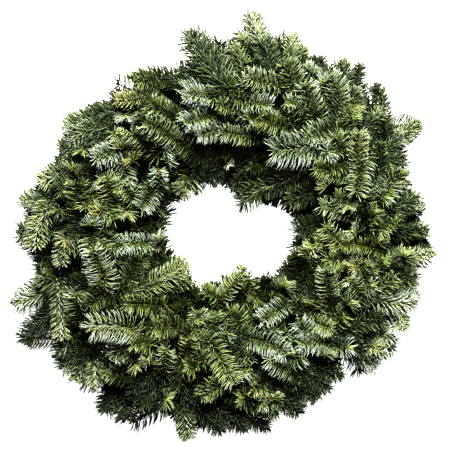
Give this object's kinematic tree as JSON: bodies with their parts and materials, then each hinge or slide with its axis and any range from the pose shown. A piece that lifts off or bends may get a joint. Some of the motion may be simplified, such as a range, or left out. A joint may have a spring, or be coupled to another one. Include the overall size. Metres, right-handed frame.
{
  "type": "evergreen wreath",
  "caption": "Round wreath of fresh fir sprigs, laid overlapping one way round a flat wire frame and bound on with wire, with an open middle.",
  "frame": {"origin": "centre of the wreath's overall outline, on the surface that its back lies on", "axes": "+Z out of the wreath's front, along the axis of its hole; +Y to the top of the wreath as the picture shows it; +X to the right as seen from the front"},
  "size_m": [0.599, 0.6098, 0.1354],
  "materials": {
    "fir_deep": "waxy",
    "fir_green": "waxy",
    "fir_silver": "waxy",
    "fir_fresh": "waxy",
    "green_enamelled_steel": "gloss",
    "paddle_wire": "satin"
  },
  "bodies": {
    "root": {"wire_frame": "green_enamelled_steel", "binding_wire": "paddle_wire", "outer_sprig_01": "fir_deep", "outer_sprig_02": "fir_deep", "outer_sprig_03": "fir_fresh", "outer_sprig_04": "fir_deep", "outer_sprig_05": "fir_green", "outer_sprig_06": "fir_green", "outer_sprig_07": "fir_silver", "outer_sprig_08": "fir_fresh", "outer_sprig_09": "fir_green", "outer_sprig_10": "fir_green", "outer_sprig_11": "fir_deep", "outer_sprig_12": "fir_green", "outer_sprig_13": "fir_deep", "outer_sprig_14": "fir_silver", "outer_sprig_15": "fir_silver", "outer_sprig_16": "fir_fresh", "crown_sprig_01": "fir_fresh", "crown_sprig_02": "fir_deep", "crown_sprig_03": "fir_silver", "crown_sprig_04": "fir_silver", "crown_sprig_05": "fir_deep", "crown_sprig_06": "fir_silver", "crown_sprig_07": "fir_fresh", "crown_sprig_08": "fir_silver", "crown_sprig_09": "fir_silver", "crown_sprig_10": "fir_silver", "crown_sprig_11": "fir_green", "crown_sprig_12": "fir_silver", "crown_sprig_13": "fir_silver", "crown_sprig_14": "fir_green", "crown_sprig_15": "fir_green", "crown_sprig_16": "fir_green", "inner_sprig_01": "fir_deep", "inner_sprig_02": "fir_deep", "inner_sprig_03": "fir_deep", "inner_sprig_04": "fir_green", "inner_sprig_05": "fir_deep", "inner_sprig_06": "fir_green", "inner_sprig_07": "fir_silver", "inner_sprig_08": "fir_fresh", "inner_sprig_09": "fir_green", "inner_sprig_10": "fir_deep", "inner_sprig_11": "fir_green", "inner_sprig_12": "fir_fresh", "inner_sprig_13": "fir_deep", "inner_sprig_14": "fir_deep", "inner_sprig_15": "fir_deep", "inner_sprig_16": "fir_deep"}
  },
  "joints": []
}
